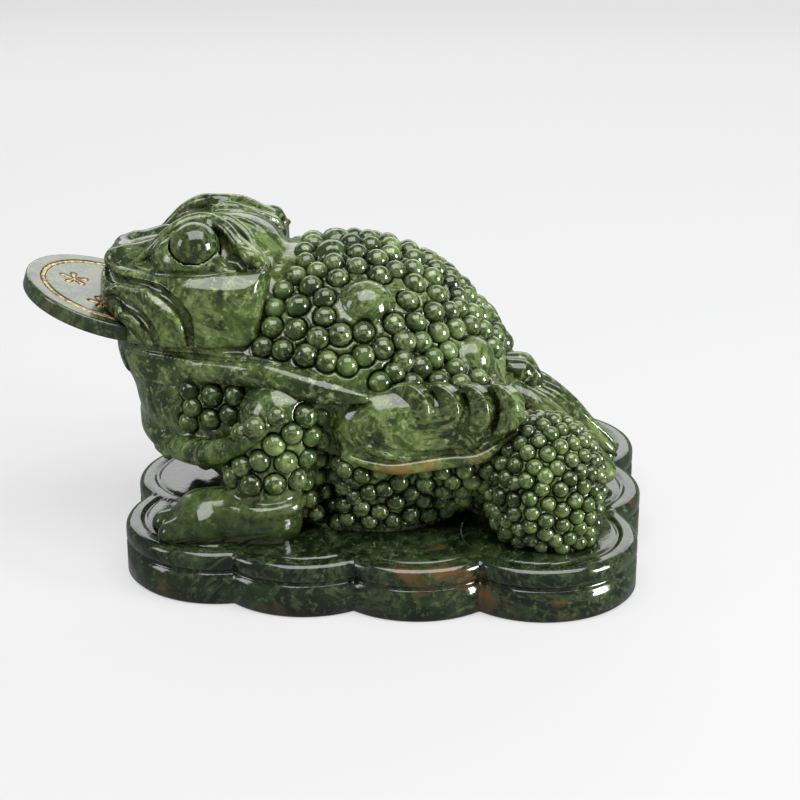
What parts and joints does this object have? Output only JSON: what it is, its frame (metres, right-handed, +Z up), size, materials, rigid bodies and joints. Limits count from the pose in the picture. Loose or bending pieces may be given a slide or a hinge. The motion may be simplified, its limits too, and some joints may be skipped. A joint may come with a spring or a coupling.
{
  "type": "jade toad figurine",
  "caption": "Carved green jade three-legged toad crouching on a plinth of overlapping coins, with a loose jade coin resting in its mouth.",
  "frame": {"origin": "centre of the plinth's flat underside", "axes": "-X towards the toad's nose, -Y out of its left flank, +Z up"},
  "size_m": [0.2323, 0.162, 0.127],
  "materials": {
    "jade": "polished mottled green stone",
    "jade_smooth": "polished green stone with pale and brown veins",
    "jade_plinth": "polished dark green stone with brown inclusions",
    "jade_coin": "polished dark green stone",
    "gilding": "gold paint in engraved lines"
  },
  "bodies": {
    "carving": {"coin_plinth": "jade_plinth", "torso": "jade", "head": "jade_smooth", "lower_jaw": "jade_smooth", "eye_left": "jade_smooth", "eye_right": "jade_smooth", "front_leg_left": "jade", "front_leg_right": "jade", "hind_leg": "jade", "tail": "jade_smooth", "flank_ribbon_left": "jade_smooth", "flank_ribbon_right": "jade_smooth", "coin_string_left": "jade_smooth", "coin_string_right": "jade_smooth"},
    "coin": {"mouth_coin": "jade_coin", "coin_gilding": "gilding"}
  },
  "joints": [
    {"name": "coin_slide", "type": "slide", "parent": "carving", "child": "coin", "axis": [-0.9511, 0, 0.309], "range_m": [0, 0.05]}
  ]
}
